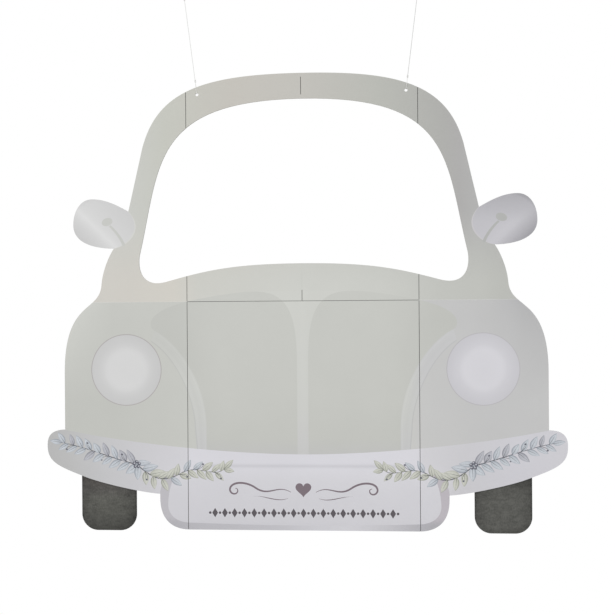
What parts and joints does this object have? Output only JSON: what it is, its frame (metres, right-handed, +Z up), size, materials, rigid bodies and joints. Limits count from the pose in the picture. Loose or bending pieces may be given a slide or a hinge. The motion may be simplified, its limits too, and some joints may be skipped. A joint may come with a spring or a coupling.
{
  "type": "photo booth frame",
  "caption": "Hanging cut-out photo booth frame shaped like a rounded vintage car front, with an open windscreen to pose behind and side panels and bonnet that fold flat.",
  "frame": {"origin": "midway between the tops of the two hanging loops, in the middle of the board's thickness", "axes": "+X to the viewer's right along the frame's width, +Y from the printed front to the back, +Z up"},
  "size_m": [1, 0.0069, 1.0476],
  "materials": {
    "board": "matte",
    "print": "satin",
    "tyre": "matte",
    "tape": "matte",
    "pad": "matte",
    "cord": "matte"
  },
  "bodies": {
    "upper_centre": {"roof_board": "board", "roof_print": "print", "cowl_board": "board", "cowl_print": "print", "left_roof_tape": "tape", "right_roof_tape": "tape", "left_cowl_tape": "tape", "right_cowl_tape": "tape", "left_cord": "cord", "right_cord": "cord", "left_hitch": "cord", "right_hitch": "cord", "left_hang_loop": "cord", "right_hang_loop": "cord"},
    "left_pillar": {"left_pillar_board": "board", "left_pillar_print": "print", "left_pillar_tapes": "tape"},
    "right_pillar": {"right_pillar_board": "board", "right_pillar_print": "print", "right_pillar_tapes": "tape"},
    "bonnet": {"bonnet_board": "board", "bonnet_print": "print", "left_bonnet_tape": "tape", "right_bonnet_tape": "tape"},
    "left_wing": {"left_wing_board": "board", "left_wing_print": "print", "left_wing_tape": "tape", "left_tyre": "tyre", "left_tyre_pads": "pad"},
    "right_wing": {"right_wing_board": "board", "right_wing_print": "print", "right_wing_tape": "tape", "right_tyre": "tyre", "right_tyre_pads": "pad"}
  },
  "joints": [
    {"name": "bonnet_fold", "type": "hinge", "parent": "upper_centre", "child": "bonnet", "pos_m": [0, -0.0015, -0.60463], "axis": [-1, 0, 0], "range_deg": [0, 178]},
    {"name": "left_wing_fold", "type": "hinge", "parent": "bonnet", "child": "left_wing", "pos_m": [-0.223, 0.0015, -0.824], "axis": [0, 0, -1], "range_deg": [0, 176]},
    {"name": "right_wing_fold", "type": "hinge", "parent": "bonnet", "child": "right_wing", "pos_m": [0.223, 0.0015, -0.824], "axis": [0, 0, 1], "range_deg": [0, 168]},
    {"name": "left_pillar_fold", "type": "hinge", "parent": "upper_centre", "child": "left_pillar", "pos_m": [-0.223, 0.0015, -0.4], "axis": [0, 0, -1], "range_deg": [0, 176]},
    {"name": "right_pillar_fold", "type": "hinge", "parent": "upper_centre", "child": "right_pillar", "pos_m": [0.223, 0.0015, -0.4], "axis": [0, 0, 1], "range_deg": [0, 168]}
  ],
  "couplings": [
    {"joint": "left_pillar_fold", "follows": "left_wing_fold", "ratio": 1},
    {"joint": "right_pillar_fold", "follows": "right_wing_fold", "ratio": 1}
  ]
}
